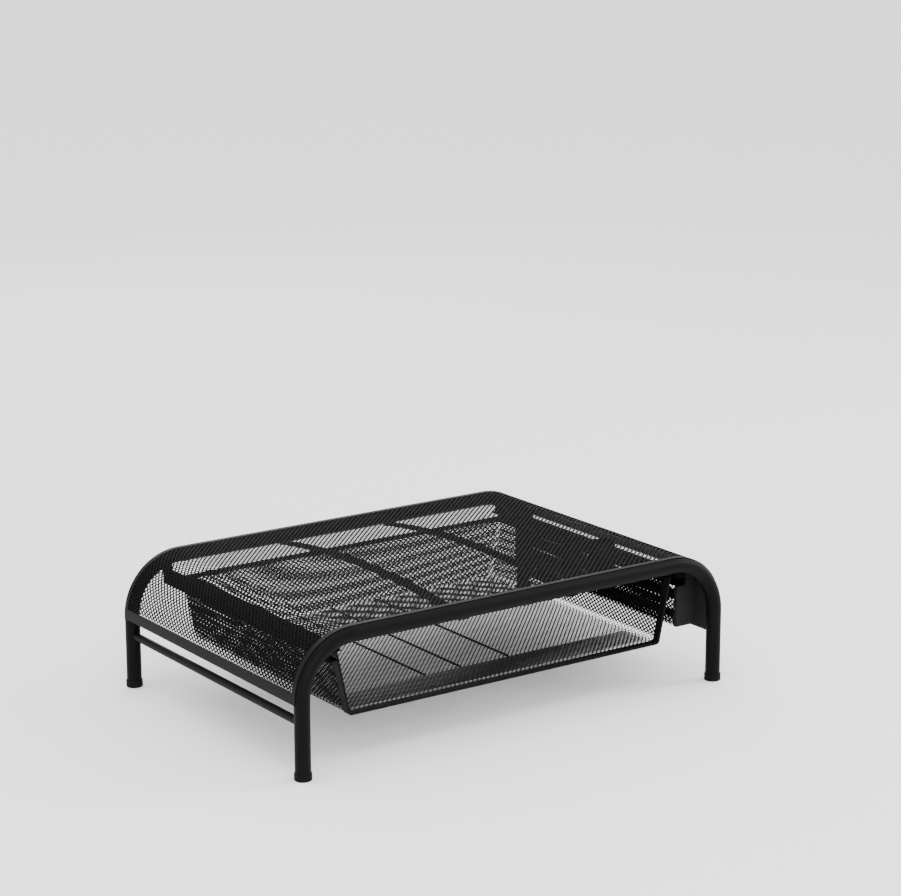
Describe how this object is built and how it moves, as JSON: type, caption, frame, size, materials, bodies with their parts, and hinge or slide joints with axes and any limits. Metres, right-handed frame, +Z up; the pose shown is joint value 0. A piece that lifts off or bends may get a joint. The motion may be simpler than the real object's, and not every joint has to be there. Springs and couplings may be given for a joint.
{
  "type": "monitor riser stand",
  "caption": "Low desk riser of bent tube with a wrapped wire-mesh top, a slide-out mesh drawer hung in side rails and a mesh bin down the right side.",
  "frame": {"origin": "middle of the footprint, on the surface the feet stand on", "axes": "+X to the right as seen from the front, +Y to the back, +Z up; the drawer opens towards -Y"},
  "size_m": [0.5096, 0.3416, 0.1386],
  "materials": {
    "frame": "satin powder coat",
    "mesh": "satin powder coat on expanded mesh",
    "foot_rubber": "matte",
    "glide_plastic": "matte"
  },
  "bodies": {
    "stand": {"front_hoop": "frame", "rear_hoop": "frame", "foot_front_left": "foot_rubber", "foot_front_right": "foot_rubber", "foot_rear_left": "foot_rubber", "foot_rear_right": "foot_rubber", "side_rod_left": "frame", "side_rod_right": "frame", "top_mesh": "mesh", "edge_strip_front": "frame", "edge_strip_rear": "frame", "side_strip_left": "frame", "side_strip_right": "frame", "support_strip_left": "frame", "support_strip_right": "frame", "rail_right": "frame", "rail_left": "frame", "rail_stop_right": "frame", "rail_stop_left": "frame", "hanger_front_right": "frame", "hanger_front_left": "frame", "hanger_rear_right": "frame", "hanger_rear_left": "frame", "bin_end_front": "frame", "bin_end_rear": "frame", "bin_inner_mesh": "mesh", "bin_hook_strip": "frame", "bin_floor_mesh": "mesh", "bin_outer_mesh": "mesh", "bin_outer_strip": "frame", "bin_bracket": "frame"},
    "drawer": {"drawer_floor_mesh": "mesh", "drawer_floor_doubler": "mesh", "drawer_mesh_right": "mesh", "drawer_mesh_left": "mesh", "drawer_mesh_rear": "mesh", "drawer_post_right": "frame", "drawer_post_left": "frame", "drawer_front_strip": "frame", "runner_right": "frame", "runner_left": "frame", "drawer_rear_rim": "frame", "glide_right": "glide_plastic", "glide_left": "glide_plastic", "drawer_rib_1": "frame", "drawer_rib_2": "frame", "drawer_rib_3": "frame"}
  },
  "joints": [
    {"name": "drawer_slide", "type": "slide", "parent": "stand", "child": "drawer", "axis": [0, -1, 0], "range_m": [0, 0.196]}
  ]
}
